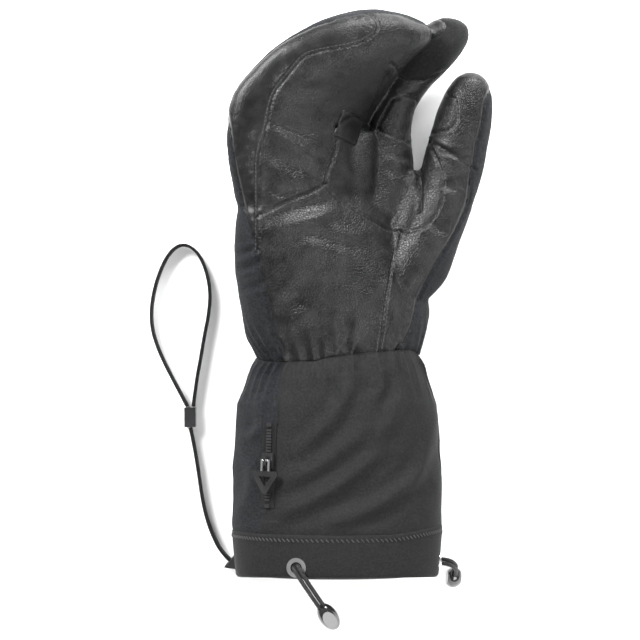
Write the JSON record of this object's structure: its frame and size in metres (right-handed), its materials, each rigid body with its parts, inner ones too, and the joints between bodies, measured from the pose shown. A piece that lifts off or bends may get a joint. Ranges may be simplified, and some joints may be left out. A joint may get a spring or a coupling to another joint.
{
  "type": "ski glove",
  "caption": "Right-hand long-gauntlet ski glove with a shared pocket for three fingers, a separate forefinger and thumb, drawcord hem, side zip and wrist leash.",
  "frame": {"origin": "centre of the cuff opening", "axes": "+X to the thumb side, +Y from the cuff opening to the fingertips, +Z out of the palm side; the glove lies on its back"},
  "size_m": [0.2065, 0.364, 0.0828],
  "materials": {
    "shell_fabric": "matte woven",
    "softshell": "matte stretch weave",
    "grip_fabric": "fine textured weave",
    "trim_fabric": "woven tape",
    "webbing": "narrow woven webbing",
    "elastic_cord": "braided elastic",
    "leather": "soft pebbled grain",
    "insulation": "lofted fibre",
    "lining": "brushed knit",
    "nickel": "polished nickel",
    "gloss_black": "glossy moulded",
    "zip_plastic": "coil"
  },
  "bodies": {
    "gauntlet": {"gauntlet_front_panel": "shell_fabric", "gauntlet_back_panel": "shell_fabric", "gauntlet_side_panel": "shell_fabric", "hem_band": "shell_fabric", "hem_edge_tape": "trim_fabric", "wrist_elastic": "trim_fabric", "drawcord": "trim_fabric", "zip_tape": "trim_fabric", "gauntlet_padding": "insulation", "gauntlet_lining": "lining", "front_eyelet": "nickel", "side_eyelet": "nickel", "front_cord_left": "elastic_cord", "front_cord_right": "elastic_cord", "side_cord_lower": "elastic_cord", "side_cord_upper": "elastic_cord", "front_cord_end": "gloss_black", "side_cord_end": "gloss_black", "zip_teeth": "zip_plastic", "zip_stops": "zip_plastic", "leash_tail": "webbing", "leash_loop": "webbing", "leash_keeper": "webbing", "leash_anchor": "webbing"},
    "hand": {"palm_leather": "leather", "thenar_leather": "leather", "crotch_patch": "leather", "hand_side_panel": "softshell", "hand_back_panel": "softshell", "hand_padding": "insulation", "hand_lining": "lining"},
    "finger_base": {"mitt_base_palm": "leather", "mitt_base_back": "softshell", "mitt_base_strip": "leather", "mitt_base_liner": "insulation", "crotch_tab": "leather", "finger_gusset": "leather", "index_base_palm": "leather", "index_base_back": "softshell", "index_base_liner": "insulation", "knuckle_pad": "leather"},
    "mitt_tip": {"mitt_tip_palm": "leather", "mitt_tip_back": "softshell", "mitt_tip_strip": "leather", "mitt_tip_liner": "insulation"},
    "index_tip": {"index_tip_palm": "leather", "index_tip_cap": "grip_fabric", "index_tip_back": "softshell", "index_tip_liner": "insulation"},
    "thumb_base": {"thumb_base_palm": "leather", "thumb_base_back": "softshell", "thumb_base_liner": "insulation"},
    "thumb_tip": {"thumb_tip_palm": "leather", "thumb_tip_back": "softshell", "thumb_tip_liner": "insulation", "thumb_patch": "leather"},
    "zip_runner": {"zip_slider": "nickel"},
    "zip_puller": {"zip_link": "nickel", "zip_pull_tab": "gloss_black"}
  },
  "joints": [
    {"name": "wrist_flex", "type": "hinge", "parent": "gauntlet", "child": "hand", "pos_m": [0, 0.13, 0.001], "axis": [1, 0, 0], "range_deg": [-20, 25]},
    {"name": "knuckle_flex", "type": "hinge", "parent": "hand", "child": "finger_base", "pos_m": [0.0005, 0.2318, 0.0015], "axis": [0.853, 0, -0.522], "range_deg": [-15, 3]},
    {"name": "mitt_curl", "type": "hinge", "parent": "finger_base", "child": "mitt_tip", "pos_m": [-0.0254, 0.2791, 0.02013], "axis": [0.8008, -0.1001, -0.5906], "range_deg": [-25, 20]},
    {"name": "index_curl", "type": "hinge", "parent": "finger_base", "child": "index_tip", "pos_m": [0.036, 0.288, -0.013], "axis": [0.8008, -0.1001, -0.5906], "range_deg": [-20, 4]},
    {"name": "thumb_flex", "type": "hinge", "parent": "hand", "child": "thumb_base", "pos_m": [0.058, 0.2126, -0.0081], "axis": [0.9171, -0.2392, -0.319], "range_deg": [-8, 15]},
    {"name": "thumb_curl", "type": "hinge", "parent": "thumb_base", "child": "thumb_tip", "pos_m": [0.07, 0.2516, -0.0084], "axis": [0.9171, -0.2392, -0.319], "range_deg": [-12, 20]},
    {"name": "zip_slide", "type": "slide", "parent": "gauntlet", "child": "zip_runner", "axis": [0.0294, 0.9996, -0.0053], "range_m": [-0.02, 0.016]},
    {"name": "zip_pull_hinge", "type": "hinge", "parent": "zip_runner", "child": "zip_puller", "pos_m": [-0.04203, 0.07208, 0.02814], "axis": [-0.9168, 0.0248, -0.3987], "range_deg": [0, 90]}
  ]
}
